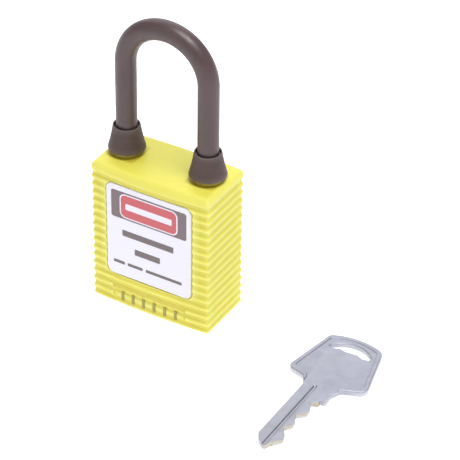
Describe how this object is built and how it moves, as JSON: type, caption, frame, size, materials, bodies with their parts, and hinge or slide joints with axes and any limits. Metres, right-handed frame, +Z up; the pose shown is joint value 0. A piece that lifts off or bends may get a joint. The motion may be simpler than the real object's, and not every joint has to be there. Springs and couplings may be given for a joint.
{
  "type": "safety padlock",
  "caption": "Small lockout padlock: ribbed yellow plastic body, dark plastic shackle with rubber dust caps, keyed cylinder with locking balls, and a loose key lying beside it.",
  "frame": {"origin": "centre of the body's underside, on the surface the lock stands on", "axes": "+Z up along the legs, -Y out of the labelled front, -X towards the heel leg that stays in the body"},
  "size_m": [0.0889, 0.0546, 0.0903],
  "materials": {
    "yellow_plastic": "moulded, satin",
    "label": "printed plate",
    "dark_plastic": "moulded, satin",
    "rubber": "matt",
    "nickel": "nickel plate, satin",
    "brass": "turned",
    "zinc": "zinc die-casting",
    "steel": "plain",
    "polished_steel": "polished balls"
  },
  "bodies": {
    "lock_body": {"body_shell": "yellow_plastic", "front_label": "label", "rear_label": "label", "bottom_plate": "yellow_plastic", "cylinder_housing": "zinc", "chamber_strip": "brass", "cylinder_screw": "steel", "driver_pins": "brass", "driver_springs": "steel", "ball_carrier": "zinc", "retaining_pin": "steel", "shackle_spring": "steel"},
    "plug": {"cylinder_plug": "brass", "plug_clip": "steel", "key_pins": "brass", "locking_cam": "zinc"},
    "ball_heel": {"ball_heel": "polished_steel"},
    "ball_toe": {"ball_toe": "polished_steel"},
    "shackle": {"shackle": "dark_plastic", "dust_cap_heel": "rubber", "dust_cap_toe": "rubber"},
    "key": {"key": "nickel"}
  },
  "joints": [
    {"name": "plug_turn", "type": "hinge", "parent": "lock_body", "child": "plug", "pos_m": [0, 0, 0], "axis": [0, 0, 1], "range_deg": [0, 90]},
    {"name": "ball_heel_slide", "type": "slide", "parent": "lock_body", "child": "ball_heel", "axis": [1, 0, 0], "range_m": [0, 0.004]},
    {"name": "ball_toe_slide", "type": "slide", "parent": "lock_body", "child": "ball_toe", "axis": [-1, 0, 0], "range_m": [0, 0.004]},
    {"name": "shackle_lift", "type": "slide", "parent": "lock_body", "child": "shackle", "axis": [0, 0, 1], "range_m": [0, 0.012], "deforming": ["shackle_spring"]},
    {"name": "key_lift", "type": "slide", "parent": "lock_body", "child": "key", "axis": [0, 0, 1], "range_m": [0, 0.05]}
  ],
  "couplings": [
    {"joint": "ball_heel_slide", "follows": "plug_turn", "m_per_rad": 0.002546},
    {"joint": "ball_toe_slide", "follows": "plug_turn", "m_per_rad": 0.002546},
    {"joint": "shackle_lift", "follows": "plug_turn", "m_per_rad": 0.007639}
  ]
}
